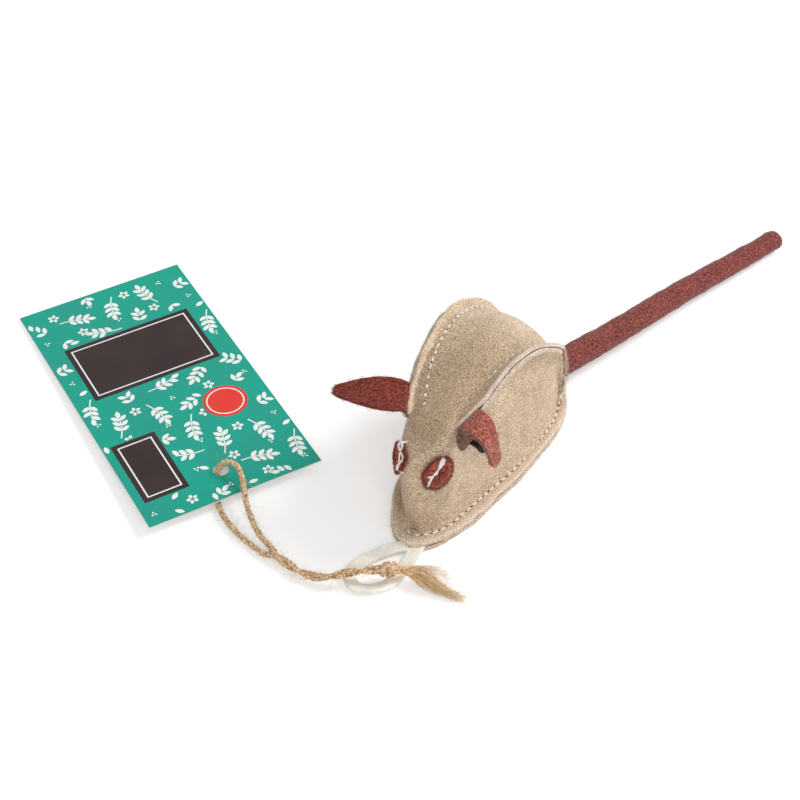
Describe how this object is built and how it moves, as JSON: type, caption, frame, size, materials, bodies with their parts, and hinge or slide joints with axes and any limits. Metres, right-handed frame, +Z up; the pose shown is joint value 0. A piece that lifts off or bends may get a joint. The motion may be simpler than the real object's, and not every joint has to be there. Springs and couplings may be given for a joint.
{
  "type": "stuffed suede toy mouse with swing tag",
  "caption": "Stuffed suede toy mouse for a cat, with sewn rim, dart seams, leaf ears, rolled tail, a nose lace and a card tag tied on with twine.",
  "frame": {"origin": "on the floor under the middle of the mouse's own box, the lace, twine and tag left out", "axes": "+Y from nose to tail, +X to the mouse's own left, +Z up from the flat base"},
  "size_m": [0.194, 0.1971, 0.0406],
  "materials": {
    "beige_suede": "napped suede",
    "red_suede": "napped suede",
    "lace_suede": "napped suede",
    "white_thread": "matt",
    "filling": "loose fibre",
    "jute": "twisted twine",
    "printed_card": "satin print"
  },
  "bodies": {
    "mouse_body": {"top_cover": "beige_suede", "base_panel": "beige_suede", "stuffing": "filling", "left_eye": "red_suede", "right_eye": "red_suede", "left_eye_thread": "white_thread", "right_eye_thread": "white_thread", "left_dart_thread": "white_thread", "right_dart_thread": "white_thread", "rim_thread": "white_thread", "nose_lace": "lace_suede", "tag_twine_loop": "jute", "tag_twine_pair": "jute", "twine_knot": "jute", "twine_end_long": "jute", "twine_end_short": "jute"},
    "left_ear_leaf": {"left_ear": "red_suede"},
    "right_ear_leaf": {"right_ear": "red_suede"},
    "tail_roll": {"tail": "red_suede"},
    "tag_card": {"swing_tag": "printed_card"}
  },
  "joints": [
    {"name": "left_ear_fold", "type": "hinge", "parent": "mouse_body", "child": "left_ear_leaf", "pos_m": [0.00037, -0.06347, 0.0345], "axis": [0.241, 0.9321, 0.2704], "range_deg": [-70, 15]},
    {"name": "right_ear_fold", "type": "hinge", "parent": "mouse_body", "child": "right_ear_leaf", "pos_m": [-0.0192, -0.06347, 0.0345], "axis": [-0.2712, 0.9244, 0.2682], "range_deg": [-60, 60]},
    {"name": "tail_swing", "type": "hinge", "parent": "mouse_body", "child": "tail_roll", "pos_m": [-0.00021, -0.00751, 0.0061], "axis": [0, 0, 1], "range_deg": [-25, 25]},
    {"name": "tag_turn", "type": "hinge", "parent": "mouse_body", "child": "tag_card", "pos_m": [-0.06582, -0.08507, 0.0025], "axis": [0, 0, 1], "range_deg": [-25, 25]}
  ]
}
